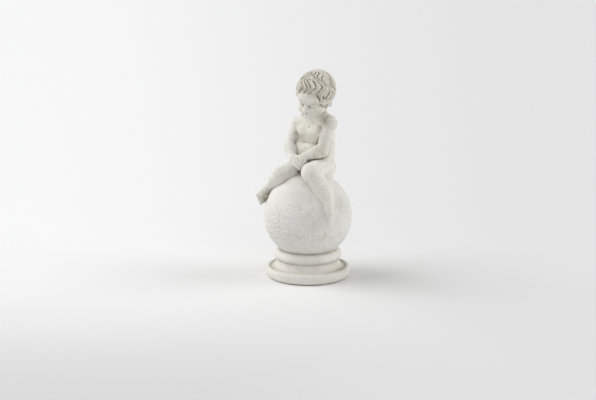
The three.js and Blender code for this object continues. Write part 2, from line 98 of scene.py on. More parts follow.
PELVIS = above(10, 30, 20)
BELLY = above(7, 12, 54)
BACK = above(13, 28, 62)
WIDE_BACK = above(12, 26, 100)
FLANK = (above(-26, 12, 100), above(-20, -5, 47))
NAVEL = (5, SEAT_Z + 65)
RIBS = above(9, 18, 96)
NECK = above(12, 24, 138)
SHOULDER_HOLLOW = above(51, -11, 139)
HEAD = above(9, 15, 198)
LEFT = {
    "shoulder": above(56, 14, 129),
    "elbow": above(48, -9, 61),
    "wrist": above(16, -38, 48),
    "palm": above(5, -44, 37),
    "hip": above(39, 19, 16),
    "knee": above(50, -58, 13),
    "calf": above(79, -43, -37),
    "ankle": above(94, -45, -69),
    "toes": above(94, -47, -106),
    "girth": (27.5, 24.5, 21.5, 12.5),
    "seat": (above(44, 14, 2), above(70, -22, -22)),
}
RIGHT = {
    "shoulder": above(-37, 9, 118),
    "elbow": above(-49, -9, 63),
    "wrist": above(-20, -40, 42),
    "palm": above(-7, -50, 37),
    "hip": above(-15, 8, 12),
    "knee": above(-55, -47, -9.5),
    "calf": above(-68, -50, -21),
    "ankle": above(-103, -33, -52),
    "toes": above(-112, -60, -74),
    "girth": (31, 22, 15.5, 10.5),
    "seat": (above(-18, 14, 2), above(-45, -22, -20)),
}

REACH = 13.0
NEAR_REACH = 6.0


class Form:
    """Distances outside (above nought) or inside (below) a surface, on a box of the grid."""

    def __init__(self, first, values):
        self.first = np.asarray(first)
        self.values = values

    @property
    def last(self):
        return self.first + self.values.shape

    def window(self, other):
        """The slices of this form's box that another form's box fills."""
        start = other.first - self.first
        return tuple(slice(a, a + n) for a, n in zip(start, other.values.shape))


def smooth_min(a, b, softness):
    share = np.maximum(softness - np.abs(a - b), 0) / softness
    return np.minimum(a, b) - share * share * (softness / 4)


class Clay:
    """Makes forms on one cubic grid, whose spacing is in millimetres."""

    def __init__(self, step):
        self.step = step

    def axes(self, low, high, reach=REACH):
        first = np.floor((np.asarray(low) - reach) / self.step).astype(int)
        last = np.ceil((np.asarray(high) + reach) / self.step).astype(int)
        x, y, z = (np.arange(a, b + 1, dtype=np.float32) * self.step for a, b in zip(first, last))
        return first, x[:, None, None], y[None, :, None], z[None, None, :]

    def limb(self, start, end, start_radius, end_radius, reach=REACH):
        """A round bar between two places, with its own radius at each."""
        start, end = np.asarray(start, float), np.asarray(end, float)
        low = np.minimum(start - start_radius, end - end_radius)
        high = np.maximum(start + start_radius, end + end_radius)
        first, x, y, z = self.axes(low, high, reach)
        run = end - start
        px, py, pz = x - start[0], y - start[1], z - start[2]
        along = np.clip((px * run[0] + py * run[1] + pz * run[2]) / (run @ run), 0, 1)
        away = np.sqrt((px - along * run[0]) ** 2 + (py - along * run[1]) ** 2 + (pz - along * run[2]) ** 2)
        return Form(first, np.minimum(away - start_radius - along * (end_radius - start_radius), reach))

    def egg(self, centre, radii, turn=np.eye(3), reach=REACH):
        """An egg with its own radius along each of its axes, which a matrix may turn."""
        centre, radii = np.asarray(centre, float), np.asarray(radii, float)
        extent = np.sqrt(np.square(turn * radii).sum(axis=1))
        first, x, y, z = self.axes(centre - extent, centre + extent, reach)
        px, py, pz = x - centre[0], y - centre[1], z - centre[2]
        a, b, c = (row[0] * px + row[1] * py + row[2] * pz for row in turn.T / radii[:, None])
        near = np.sqrt(a * a + b * b + c * c)
        slope = np.sqrt((a / radii[0]) ** 2 + (b / radii[1]) ** 2 + (c / radii[2]) ** 2)
        distance = np.where(near < 1e-3, -radii.min(), near * (near - 1) / np.maximum(slope, 1e-6))
        return Form(first, np.minimum(distance, reach).astype(np.float32))

    def ball(self, centre, radius, reach=REACH):
        return self.egg(centre, (radius, radius, radius), reach=reach)

    def ring(self, centre, axis, radius, thickness, reach=NEAR_REACH):
        """A thin round ring, for the folds of skin round a joint."""
        centre, axis = np.asarray(centre, float), np.asarray(axis, float)
        axis = axis / np.linalg.norm(axis)
        extent = radius * np.sqrt(1 - axis**2) + thickness
        first, x, y, z = self.axes(centre - extent, centre + extent, reach)
        px, py, pz = x - centre[0], y - centre[1], z - centre[2]
        along = px * axis[0] + py * axis[1] + pz * axis[2]
        out = np.sqrt(np.maximum(px * px + py * py + pz * pz - along * along, 0))
        return Form(first, np.minimum(np.sqrt((out - radius) ** 2 + along * along) - thickness, reach))

    def strand(self, places, radii, reach=NEAR_REACH):
        """The bars of a strand through several places, with a radius at each."""
        ends = zip(places, places[1:], radii, radii[1:])
        return [self.limb(a, b, ra, rb, reach) for a, b, ra, rb in ends]

    def blend(self, softness, *forms):
        """Forms melted into one another over a width of softness."""
        first = np.min([form.first for form in forms], axis=0)
        last = np.max([form.last for form in forms], axis=0)
        whole = Form(first, np.full(last - first, REACH, np.float32))
        for form in forms:
            window = whole.window(form)
            whole.values[window] = smooth_min(whole.values[window], form.values, softness)
        return whole

    def carve(self, softness, form, *cuts):
        """A form with others cut out of it, with the edges eased over a width of softness."""
        cut = Form(form.first, form.values.copy())
        for tool in cuts:
            low = np.maximum(tool.first, form.first)
            high = np.minimum(tool.last, form.last)
            here = tuple(slice(a, b) for a, b in zip(low - form.first, high - form.first))
            there = tuple(slice(a, b) for a, b in zip(low - tool.first, high - tool.first))
            cut.values[here] = -smooth_min(-cut.values[here], tool.values[there], softness)
        return cut

    def turned(self, profile):
        """A solid of revolution about the vertical axis, from a closed profile of radii and heights."""
        points = np.array(profile, np.float32)
        fine = 0.5
        widest, tallest = points.max(axis=0)
        radii = np.arange(0, widest + REACH + fine, fine, dtype=np.float32)
        first, x, y, z = self.axes((-widest, -widest, 0), (widest, widest, tallest))
        r, h = radii[:, None], z.ravel()[None, :]
        nearest = np.full(np.broadcast(r, h).shape, 1e9, np.float32)
        inside = np.zeros(nearest.shape, bool)
        for (ar, ah), (br, bh) in zip(points, np.roll(points, -1, axis=0)):
            if ar == 0 and br == 0:
                continue
            run_r, run_h = br - ar, bh - ah
            along = np.clip(((r - ar) * run_r + (h - ah) * run_h) / (run_r**2 + run_h**2), 0, 1)
            nearest = np.minimum(nearest, (r - ar - along * run_r) ** 2 + (h - ah - along * run_h) ** 2)
            if run_h != 0:
                crossed = ((ah > h) != (bh > h)) & (r < ar + (h - ah) * run_r / run_h)
                inside ^= crossed
        table = np.sqrt(nearest) * np.where(inside, -1, 1)
        place = np.sqrt(x * x + y * y)[:, :, 0] / fine
        low = np.minimum(place.astype(int), len(radii) - 2)
        part = np.clip(place - low, 0, 1)[:, :, None]
        values = table[low] * (1 - part) + table[low + 1] * part
        return Form(first, np.minimum(values, REACH).astype(np.float32))


def between(a, b, share):
    return a + share * (b - a)


def unit(way):
    return way / np.linalg.norm(way)


def front(clay, form, x, z, out=0.0):
    """The place where a form is first met from the front, at a place across and up."""
    column = form.values[round(x / clay.step) - form.first[0], :, round(z / clay.step) - form.first[2]]
    inner = int(np.argmax(column < 0))
    part = column[inner - 1] / (column[inner - 1] - column[inner])
    return np.array([x, (form.first[1] + inner - 1 + part) * clay.step - out, z])


# The skin of the casting: dents, the stipple on the ball and air holes, in millimetres
SEED = 7
SKIN = 3.0
DENT_SIZE = 17.0
FINE_DENTS, FINE_DENT_SIZE = 0.36, 5.5
# The heights between which the dents set in, so that the underside stays flat
DENTS_FROM = (1.0, 6.0)
# The stipple: its grain and its patches, the share of a finer grain, how deep it is and where it fades out
STIPPLE_SIZE, STIPPLE_PATCH = 4.6, 34.0
STIPPLE_FINE, STIPPLE_COARSE_SHARE = 0.6, 0.6
STIPPLE_DEEP, STIPPLE_SWING, STIPPLE_LEAST = 0.85, 0.6, 0.35
STIPPLE_TOP, STIPPLE_FADE = 236.0, 60.0
STIPPLE_FOOT, STIPPLE_RISE = 78.0, 40.0
STIPPLE_REACH, STIPPLE_MARK_REACH = 2.0, 3.0
# Air holes that are in a known place, and the radii of the small ones
KNOWN_HOLES = (((13, -102.4, 202.5), 1.7), ((59, -50, 70.5), 1.8), ((-23.8, -78.5, 48), 2.0))
CHEST_HOLE = (10.7, SEAT_Z + 118.5)
SMALL_HOLE_RADII = (0.5, 1.2)
HOLES_BELOW = SEAT_Z + 130
# How wide a groove and a hollow are, for the dirt in them
HOLLOW_WIDTHS = {"groove": 3.0, "hollow": 9.0}
# How strongly dirt shows, at heights in millimetres
SOIL = (
    (0, 0.8),
    (50, 0.8),
    (62, 0.4),
    (74, 0.4),
    (82, 0.14),
    (SEAT_Z + 5, 0.14),
    (SEAT_Z + 35, 1.2),
    (SEAT_Z + 140, 1.2),
    (SEAT_Z + 160, 1.5),
)
SOIL_ON_LEGS, LEG_FADE = 0.9, 4.0
# Where a brown film has settled, and patches of painted shade in the gaps and creases and of the head's
# painted shadow on the left shoulder: the place, how wide, and how strong
GRIME_AND_PAINTED_SHADE = (
    # Left shoulder hollow: brown dirt, with the head's shadow painted over it
    (above(52, -8, 140), 17, 1.3),
    (above(-108, -50, -72), 22, 1.0),
    # Painted shade in the deep gap between the thighs
    (above(-6, -29, 3), 10, 1.8),
    # Painted shade in the crease between the right arm and the torso
    (above(-28, -11, 99), 9, 0.9),
    (above(-26, -11, 84), 8, 0.9),
    # Painted shade in the crease between the left arm and the torso
    (above(44, -9, 112), 8, 0.6),
    # Painted shade in the gap between the forearms and the left knee
    (above(13, -12, 32), 12, 1.8),
    # Painted shade in the gap between the right foot and the ball
    (above(-87, -57, -68), 9, 2.0),
    (above(80, -60, -95), 20, 0.35),
    (above(104, -8, -66), 22, 0.35),
    (above(52, -22, 70), 20, 0.4),
    (above(93, 10, -243), 30, 0.3),
)
# Rings of brown film round the foot, the last one a painted contact shadow along the bottom edge: radius,
# height, how wide, and how strong
GRIME_RINGS_AND_PAINTED_SHADE = ((95, 27, 8, 0.6), (80, 48, 5, 0.3), (83, 73, 5, 0.15), (101, 0, 4, 1.8))


# The foot and the ball

def sweep(steps, start, end, centre, reach):
    """Points on an arc of an ellipse, between two angles in degrees."""
    angles = np.radians(np.linspace(start, end, steps))
    return [(centre[0] + reach[0] * math.cos(a), centre[1] + reach[1] * math.sin(a)) for a in angles]


def turned_profile():
    points = [(0, 0), (UNDERSIDE_RADIUS, 0)]
    points += sweep(8, -75, 0, (RIM_CENTRE, RIM_MIDDLE), (RIM_REACH, RIM_MIDDLE))
    points += sweep(8, 0, 90, (RIM_CENTRE, RIM_MIDDLE), (RIM_REACH, RIM_RISE))[1:]
    points.append((CHANNEL_RADIUS, CHANNEL_Z))
    points += sweep(14, -90, -180, (COVE_FOOT, COVE_HIGH), (COVE_FOOT - COVE_TOP, COVE_HIGH - COVE_LOW))
    points += sweep(14, -53, 90, (COLLAR_CENTRE, COLLAR_MIDDLE), (COLLAR_BEAD, COLLAR_BEAD))
    points.append((0, COLLAR_MIDDLE + COLLAR_BEAD))
    return points


# The body

def trunk(clay):
    """Pelvis, round belly, ribs with a soft breast, shoulders and neck."""
    seat = [clay.egg(PELVIS + (side, 5, -16), (25, 26, 28)) for side in (-17, 17)]
    breast = [clay.egg(RIBS + (side, -25, 11), (19, 10, 15)) for side in (-19, 17)]
    blades = [clay.egg(RIBS + (side, 24, 16), (15, 9, 19)) for side in (-20, 26)]
    collar = clay.egg(RIBS + (0, -9, 27), (34, 15, 15))
    chest = clay.blend(8, clay.egg(RIBS, (41, 31, 37)), *breast, collar)
    soft_front = clay.blend(2.5, clay.egg(BELLY, (39, 33, 31)), chest)
    shoulders = [clay.limb(NECK, side["shoulder"], 24, 19.5) for side in (LEFT, RIGHT)]
    whole = clay.blend(
        SOFT,
        clay.egg(PELVIS, (44, 36, 34)),
        clay.egg(BACK, (46, 34, 66)),
        clay.egg(WIDE_BACK, (48, 28, 36)),
        *seat,
        soft_front,
        *shoulders,
        *blades,
        clay.limb(*FLANK, 14, 16),
        clay.limb(NECK, HEAD + (0, 2, -34), 23, 23),
    )
    spine = clay.limb(BACK + (0, 38, -34), NECK + (2, 30, -16), 4, 2.5)
    cleft = clay.limb(PELVIS + (0, 41, -24), PELVIS + (0, 39, 2), 3.5, 2.5)
    hollow = clay.egg(SHOULDER_HOLLOW, (16, 12, 9))
    whole = clay.carve(SOFT, whole, spine, cleft, hollow)
    navel = clay.egg(front(clay, whole, *NAVEL, 1), (2.4, 3, 3.2))
    return clay.carve(3, whole, navel)


def arm(clay, side):
    """An arm that hangs from the shoulder and reaches to the lap."""
    upper = between(side["shoulder"], side["elbow"], 0.45)
    middle = between(side["elbow"], side["wrist"], 0.35)
    whole = clay.blend(
        SOFT,
        clay.limb(side["shoulder"], upper, 19, 15.5),
        clay.limb(upper, side["elbow"], 15.5, 14.5),
        clay.limb(side["elbow"], middle, 14.5, 15),
        clay.limb(middle, side["wrist"], 15, 10),
    )
    cuff = clay.ring(between(side["elbow"], side["wrist"], 0.9), side["wrist"] - side["elbow"], 11.8, 0.9)
    return clay.carve(2.5, whole, cuff)


# The right hand lies on the left one, its fingers over the edge
FINGERS = 4
FINGER_RADIUS = 4
KNUCKLE_INDEX = above(10, -49, 48)
KNUCKLE_LITTLE = above(1, -62, 30)
FINGER_BEND = (7, 0, -4)
FINGER_TIP = (5, 5, -7)


def hands(clay):
    palms = clay.blend(
        SOFT,
        clay.limb(LEFT["wrist"], LEFT["palm"], 10, 11),
        clay.limb(RIGHT["wrist"], RIGHT["palm"], 10.5, 12.5),
        clay.limb(RIGHT["palm"], between(KNUCKLE_INDEX, KNUCKLE_LITTLE, 0.25), 11, 5),
        clay.limb(RIGHT["palm"], between(KNUCKLE_INDEX, KNUCKLE_LITTLE, 0.8), 11, 5),
    )
    fingers = []
    for i in range(FINGERS):
        knuckle = between(KNUCKLE_INDEX, KNUCKLE_LITTLE, i / (FINGERS - 1))
        bend = knuckle + FINGER_BEND
        radii = [FINGER_RADIUS * share for share in (1.1, 1.0, 0.85)]
        fingers += clay.strand([knuckle, bend, bend + FINGER_TIP], radii, REACH)
    return clay.blend(1.5, palms, clay.blend(0.5, *fingers))


def leg(clay, side):
    """A leg over the ball."""
    hip, knee, calf, ankle = side["girth"]
    return clay.blend(
        SOFT,
        clay.limb(side["hip"], side["knee"], hip, knee),
        clay.limb(side["knee"], side["calf"], knee - 1, calf),
        clay.limb(side["calf"], side["ankle"], calf, ankle),
        clay.limb(*side["seat"], hip - 7, knee - 6),
    )


# The right foot hangs free, with its toes in a row from the big toe to the little one
TOES = 5
BIG_TOE = above(-104, -62, -84)
LITTLE_TOE = above(-120, -57, -65)
FOOT_PAD = above(-108, -48, -79)
FOOT_WEB = (above(-104, -44, -68), above(-88, -54, -68), above(-91, -54, -80))


def right_foot(clay):
    sole = clay.limb(RIGHT["ankle"], between(RIGHT["ankle"], RIGHT["toes"], 0.6), 11, 10.5)
    heel = clay.ball(RIGHT["ankle"] + (4, 5, -8), 9)
    pad = clay.ball(FOOT_PAD, 7)
    web = clay.strand(FOOT_WEB, [6, 6, 4.5])
    toes = []
    for i in range(TOES):
        tip = between(BIG_TOE, LITTLE_TOE, i / (TOES - 1))
        toes.append(clay.limb(between(RIGHT["ankle"], tip, 0.62), tip, 6, 4.4 - 0.3 * i))
    return clay.blend(2, clay.blend(SOFT, sole, heel, pad), *web, clay.blend(0.8, *toes))


def left_foot(clay):
    """The left foot is worn smooth and sinks into the ball."""
    instep = between(LEFT["ankle"], LEFT["toes"], 0.5)
    heel = clay.limb(LEFT["ankle"], instep, 12.5, 11)
    return clay.blend(SOFT, heel, clay.limb(instep, LEFT["toes"], 11, 11))


# The head, in a frame of its own: the face looks along -y, and the crown is +z

def turning(axis, angle):
    return np.array(Matrix.Rotation(angle, 3, axis))


HEAD_AXES = turning("Z", HEAD_TURN) @ turning("X", HEAD_BOW) @ turning("Y", HEAD_LEAN)
SKULL_CENTRE = np.array([0, 8, 8], float)
SKULL_RADII = np.array([44, 51, 45], float)
EYE = np.array([16.2, -27.5, -12], float)
EYE_RADIUS = 9.6


def on_head(x, y, z):
    return HEAD + HEAD_AXES @ (x, y, z)


def face(clay):
    """A calm child's face, with lowered lids."""
    sides = (-1, 1)

    def ball(x, y, z, radius):
        return clay.ball(on_head(x, y, z), radius)

    def egg(x, y, z, radii):
        return clay.egg(on_head(x, y, z), radii, HEAD_AXES)

    def limb(start, end, start_radius, end_radius):
        return clay.limb(on_head(*start), on_head(*end), start_radius, end_radius)

    skin = clay.blend(
        SOFT,
        egg(*SKULL_CENTRE, SKULL_RADII),
        egg(0, -9, -25, (34, 33, 36)),
        ball(0, -30, -51, 12),
        egg(0, -30, -40, (17, 11, 11)),
        *[ball(s * 19, -22, -29, 16.5) for s in sides],
    )
    skin = clay.carve(6, skin, *[egg(s * EYE[0], -45, EYE[2] + 1, (12, 9, 8)) for s in sides])
    brows = [limb((s * 7, -37, 0.5), (s * 16, -36, 4), 2.2, 3) for s in sides]
    brows += [limb((s * 16, -36, 4), (s * 27, -28, -1), 3, 2) for s in sides]
    skin = clay.blend(8, skin, *brows)
    lids = []
    for s in sides:
        eyeball = ball(s * EYE[0], EYE[1], EYE[2], EYE_RADIUS)
        upper = egg(s * EYE[0], EYE[1] - 0.6, EYE[2] + 2.8, (10.8, 10.4, 6.6))
        lower = egg(s * EYE[0], EYE[1] - 0.3, EYE[2] - 6.6, (9.8, 9.6, 4))
        lids.append(clay.blend(0.4, eyeball, upper, lower))
    skin = clay.blend(1.5, skin, *lids)
    nose = clay.blend(
        4,
        limb((0, -35, -7), (0, -39, -16), 4, 4.2),
        limb((0, -39, -16), (0, -43.6, -24.5), 4.2, 6),
        *[ball(s * 5.8, -40, -27, 4) for s in sides],
    )
    skin = clay.blend(4, skin, nose)
    lips = clay.blend(
        1.5,
        *[limb((s * 2, -40.8, -38.4), (s * 10, -37.4, -40.4), 2.8, 1.6) for s in sides],
        *[limb((0, -40.4, -44.4), (s * 8, -37.6, -43), 3.5, 1.9) for s in sides],
    )
    skin = clay.blend(2.5, skin, lips)
    skin = clay.carve(
        1.2,
        skin,
        *[limb((0, -44.3, -41.2), (s * 10, -40.6, -41.4), 0.8, 0.3) for s in sides],
        *[ball(s * 3, -43.4, -30.8, 1.2) for s in sides],
    )
    skin = clay.carve(
        4,
        skin,
        *[ball(s * 12, -41.2, -41, 0.8) for s in sides],
        limb((0, -45.2, -32.5), (0, -44.6, -35.5), 1.6, 1.6),
        limb((-5, -43.8, -48.6), (5, -43.8, -48.6), 2.5, 2.5),
    )
    return skin


def ears(clay):
    """Small ears, each a flat shell with a raised rim that ends in a lobe."""
    shells = []
    for side in (-1, 1):
        shells.append(clay.egg(on_head(side * 37, 7, -19), (4, 7, 10), HEAD_AXES))
        bends = np.linspace(-0.7, 3.0, 9)
        rim = [on_head(side * 40, 7 + 6.5 * math.sin(a), -19 + 9.5 * math.cos(a)) for a in bends]
        shells += clay.strand(rim, [1.6] + [2.0] * 7 + [2.8])
    return shells


# The hair: a thick cap over the skull, cut by wavy grooves in rows from the crown to the hairline
CROWN_TILT = math.radians(18)
CAP_LIFT = 5.5
CAP_EDGE = 0.34
# A row starts and ends at a share of the way to the hairline, and has a radius at its start, middle and end
HAIR_ROWS = (
    {"grooves": 8, "offset": 0.0, "start": 0.05, "end": 0.56, "radii": (1.2, 2.6, 1.2), "deep": True},
    {"grooves": 8, "offset": 0.5, "start": 0.20, "end": 0.82, "radii": (1.2, 2.6, 1.2), "deep": True},
    {"grooves": 16, "offset": 0.5, "start": 0.46, "end": 0.98, "radii": (1.2, 2.5, 0.8), "deep": True},
    {"grooves": 16, "offset": 0.0, "start": 0.76, "end": 0.99, "radii": (1.2, 2.4, 0.8), "deep": True},
    {"grooves": 32, "offset": 0.5, "start": 0.28, "end": 0.92, "radii": (0.8, 1.5, 0.8), "deep": False},
)
GROOVE_STEPS = 12
GROOVE_DEPTH = 2.0
GROOVE_FLOOR, GROOVE_FLOOR_SHARE = 1.5, 0.7
GROOVE_SWELL = 0.3
STRAY_ROUND, STRAY_START, STRAY_END = 0.15, 0.04, 0.03
HAIR_TWIST = 0.45
HAIR_WAVE = 0.16
HAIR_WAVES = 1.8
CURLS = 22
CURL_SPREAD = math.radians(118)
CURL_REACH, CURL_STRAY = 0.97, 0.04
CURL_RADIUS = 6.5
CURL_SWELL = 2.5
CURL_STEPS = 9
CURL_TURN = math.radians(330)
CURL_WINDING = (0.8, 0.2)
CURL_GROOVE = (1.4, 0.8)
CROWN_AXES = turning("X", -CROWN_TILT)
# Where the colour of the hair ends, as a share of the way to the hairline
HAIR_END, HAIR_FADE = 1.02, 0.1


def hairline(turned):
    """How far from the crown the hair reaches, as an angle, at an angle round the head from the brow."""
    brow, temple, nape = 88, 131, 136
    back = (1 - np.cos(turned)) / 2
    side = np.sin(turned) ** 2
    return np.radians(brow + back * (nape - brow) + side * (temple - (brow + nape) / 2))


def on_scalp(off, turned, lift):
    """A place on the hair, from its angle off the crown and its angle round the head."""
    out = math.sin(off)
    direction = CROWN_AXES @ (out * math.sin(turned), -out * math.cos(turned), math.cos(off))
    reach = 1 / np.linalg.norm(direction / (SKULL_RADII + lift))
    return on_head(*(direction * reach + SKULL_CENTRE))


def hair_flow(round_head, share):
    """The angle round the head of a hair from the crown, a share of the way to the hairline."""
    lag = 0.9 * math.sin(2 * round_head) + 0.7 * math.sin(3 * round_head)
    sway = math.sin(2 * math.pi * HAIR_WAVES * share + lag)
    return round_head + HAIR_TWIST * share + HAIR_WAVE * sway / max(math.sin(1.6 * share), 0.45)


def hair_grooves(clay):
    """Grooves in rows, which follow the hair: a wide cut over a deep narrow one."""
    wide, deep = [], []
    for row, kind in enumerate(HAIR_ROWS):
        for i in range(kind["grooves"]):
            stray = math.sin(7.3 * i + 2.1 * row)
            other = math.sin(4.7 * i + 1.3 * row)
            round_head = (i + kind["offset"] + STRAY_ROUND * stray) / kind["grooves"] * 2 * math.pi
            start, end = kind["start"] + STRAY_START * other, kind["end"] + STRAY_END * stray
            tops, floors, radii = [], [], []
            for t in np.linspace(0, 1, GROOVE_STEPS + 1):
                share = between(start, end, t)
                turned = hair_flow(round_head, share)
                off = share * hairline(turned)
                lift = float(cap_lift(share))
                tops.append(on_scalp(off, turned, lift + 0.6))
                floors.append(on_scalp(off, turned, max(lift - GROOVE_DEPTH, 0.8)))
                swell = 1 + GROOVE_SWELL * math.sin(9 * t + 2.3 * i)
                radii.append(swell * float(np.interp(t, (0, 0.5, 1), kind["radii"])))
            wide += clay.strand(tops, radii)
            if kind["deep"]:
                narrow = [max(GROOVE_FLOOR_SHARE * radius, GROOVE_FLOOR) for radius in radii[1:-1]]
                deep += clay.strand(floors[1:-1], narrow)
    return wide, deep


def curls(clay):
    """Curls along the hairline, from temple to temple round the nape, and the grooves wound into them."""
    clumps, windings = [], []
    for i in range(CURLS):
        turned = math.pi + CURL_SPREAD * (2 * i / (CURLS - 1) - 1)
        off = hairline(turned) * (CURL_REACH + CURL_STRAY * math.sin(2.6 * i))
        radius = CURL_RADIUS + CURL_SWELL * math.sin(turned) ** 2 + math.sin(4.1 * i)
        place = on_scalp(off, turned, 0.5)
        clumps.append(clay.ball(place, radius))
        out = unit(place - on_head(*SKULL_CENTRE))
        across = unit(np.cross(out, HEAD_AXES[:, 2])) * (-1) ** i
        up = np.cross(across, out) * (-1) ** i
        winding = []
        for t in np.linspace(0, 1, CURL_STEPS):
            angle = 2.6 * i + CURL_TURN * t
            wide = between(*CURL_WINDING, t)
            side = wide * (math.cos(angle) * across + math.sin(angle) * up)
            winding.append(place + radius * (side + math.sqrt(1 - wide * wide) * out))
        windings += clay.strand(winding, np.linspace(*CURL_GROOVE, CURL_STEPS))
    return clay.blend(1, *clumps), windings


def cap_lift(reach):
    """How thick the hair is, by its share of the way from the crown to the hairline."""
    edge = np.clip((1 - reach) / CAP_EDGE, 0, 1)
    return CAP_LIFT * np.sqrt(edge * (2 - edge))


def scalp_reach(px, py, pz):
    """The share of the way from the crown to the hairline, at a place from the middle of the skull."""
    across, deep, up = (row[0] * px + row[1] * py + row[2] * pz for row in (HEAD_AXES @ CROWN_AXES).T)
    return np.arctan2(np.hypot(across, deep), up) / hairline(np.arctan2(across, -deep))


def cap(clay):
    """The mass of hair, which thins out to nothing at the hairline."""
    middle = on_head(*SKULL_CENTRE)
    skull = clay.egg(middle, SKULL_RADII, HEAD_AXES)
    cells = zip(skull.first, skull.values.shape, middle)
    x, y, z = (np.arange(a, a + n, dtype=np.float32) * clay.step - m for a, n, m in cells)
    reach = scalp_reach(x[:, None, None], y[None, :, None], z[None, None, :])
    return Form(skull.first, (skull.values - cap_lift(reach)).astype(np.float32))


def head(clay):
    wide, deep = hair_grooves(clay)
    clumps, windings = curls(clay)
    combed = clay.carve(3, clay.blend(1.5, face(clay), cap(clay)), *wide)
    curled = clay.blend(2, clay.carve(1, combed, *deep), clumps)
    return clay.blend(1.5, clay.carve(1, curled, *windings), *ears(clay))


def statue(clay):
    legs = [leg(clay, LEFT), leg(clay, RIGHT), left_foot(clay), right_foot(clay)]
    body = clay.blend(SOFT, trunk(clay), *legs)
    child = clay.blend(CREASE, body, arm(clay, LEFT), arm(clay, RIGHT), hands(clay), head(clay))
    stand = clay.blend(3, clay.turned(turned_profile()), clay.ball((0, 0, BALL_CENTRE_Z), BALL_RADIUS))
    return clay.blend(3, stand, child)


class Grain:
    """Smooth random values in space, from -1 to 1, the same on every run."""

    CELLS = 64

    def __init__(self, seed):
        draws = np.random.default_rng(seed)
        self.table = draws.uniform(-1, 1, (self.CELLS,) * 3).astype(np.float32)

    def at(self, places, size):
        scaled = places / size
        low = np.floor(scaled)
        part = (scaled - low).astype(np.float32)
        part = part * part * (3 - 2 * part)
        low = low.astype(np.int64)
        total = np.zeros(len(places), np.float32)
        for corner in np.ndindex(2, 2, 2):
            share = np.prod(np.where(corner, part, 1 - part), axis=1)
            total += share * self.table[tuple(((low + corner) % self.CELLS).T)]
        return total


def stippled(height):
    """How much of the stipple there is at a height: it fades out to the top and the bottom of the ball."""
    top = np.clip((STIPPLE_TOP - height) / STIPPLE_FADE, 0, 1)
    return top * np.clip((height - STIPPLE_FOOT) / STIPPLE_RISE, 0, 1)


def weathered(clay, form, settings):
    """The skin of the casting: slow dents, a stipple on the ball, and small air holes."""
    band = np.nonzero(np.abs(form.values) < SKIN)
    places = ((np.stack(band, axis=1) + form.first) * clay.step).astype(np.float32)
    grain = Grain(SEED)
    relief = grain.at(places, DENT_SIZE) + FINE_DENTS * grain.at(places, FINE_DENT_SIZE)
    relief *= np.interp(places[:, 2], DENTS_FROM, (0, 1))
    off_ball = np.abs(np.linalg.norm(places - (0, 0, BALL_CENTRE_Z), axis=1) - BALL_RADIUS)
    patch = np.clip(STIPPLE_DEEP + STIPPLE_SWING * grain.at(places, STIPPLE_PATCH), STIPPLE_LEAST, 1)
    on_ball = np.clip(STIPPLE_REACH - off_ball, 0, 1) * stippled(places[:, 2]) * patch
    coarse = grain.at(places, STIPPLE_SIZE)
    fine = grain.at(places[:, ::-1], STIPPLE_SIZE * STIPPLE_FINE)
    stipple = STIPPLE_COARSE_SHARE * coarse + (1 - STIPPLE_COARSE_SHARE) * fine
    skin = Form(form.first, form.values.copy())
    skin.values[band] += (settings.dents * relief + settings.stipple * on_ball * stipple) / MM
    surface = places[np.abs(form.values[band]) < 0.6]
    return clay.carve(0.5, skin, *air_holes(clay, form, surface, settings.holes))


def air_holes(clay, form, surface, count):
    """Bubbles that opened in the mould: some known ones, and many small ones anywhere on the skin."""
    draws = np.random.default_rng(SEED)
    holes = [clay.ball(place, radius, NEAR_REACH) for place, radius in KNOWN_HOLES]
    holes.append(clay.egg(front(clay, form, *CHEST_HOLE), (2.3, 2.4, 1.6), reach=NEAR_REACH))
    surface = surface[surface[:, 2] < HOLES_BELOW]
    for index in draws.integers(len(surface), size=count):
        holes.append(clay.ball(surface[index], draws.uniform(*SMALL_HOLE_RADII), NEAR_REACH))
    return holes


def averaged(values, width):
    """Values averaged over a cube of cells about each one."""
    for axis in range(3):
        margins = [(width + 1, width) if i == axis else (0, 0) for i in range(3)]
        total = np.cumsum(np.pad(values, margins, "edge"), axis)
        size = values.shape[axis]
        far = np.take(total, range(2 * width + 1, 2 * width + 1 + size), axis)
        values = (far - np.take(total, range(size), axis)) / (2 * width + 1)
    return values


def sampled(clay, form, values, places):
    """Values of a grid at places between its cells."""
    scaled = places / clay.step - form.first
    low = np.clip(np.floor(scaled).astype(int), 0, np.array(values.shape) - 2)
    part = scaled - low
    total = np.zeros(len(places))
    for corner in np.ndindex(2, 2, 2):
        total += np.prod(np.where(corner, part, 1 - part), axis=1) * values[tuple((low + corner).T)]
    return total


def meshed(clay, form, name):
    """The surface of a form as a mesh, in metres."""
    grid = openvdb.FloatGrid(REACH)
    grid.copyFromArray(form.values)
    points, quads = grid.convertToQuads(0.0)
    places = (points + form.first) * (clay.step * MM)
    mesh = bpy.data.meshes.new(name)
    mesh.from_pydata(places.tolist(), [], quads.tolist())
    mesh.update()
    return mesh


def thinned(piece, most):
    """Draws the flattest edges of a mesh together until it has no more than so many triangles."""
    piece.data.calc_loop_triangles()
    count = len(piece.data.loop_triangles)
    if count > most:
        modifier = piece.modifiers.new("thin", "DECIMATE")
        modifier.ratio = most / count
        with bpy.context.temp_override(object=piece, active_object=piece, selected_objects=[piece]):
            bpy.ops.object.modifier_apply(modifier=modifier.name)


def one_skin(mesh):
    """Deletes crumbs and pockets, which hang loose from the skin that the highest corner is on."""
    work = bmesh.new()
    work.from_mesh(mesh)
    top = max(work.verts, key=lambda corner: corner.co.z)
    skin, edge = {top}, [top]
    while edge:
        for link in edge.pop().link_edges:
            for corner in link.verts:
                if corner not in skin:
                    skin.add(corner)
                    edge.append(corner)
    loose = [corner for corner in work.verts if corner not in skin]
    bmesh.ops.delete(work, geom=loose, context="VERTS")
    work.to_mesh(mesh)
    work.free()


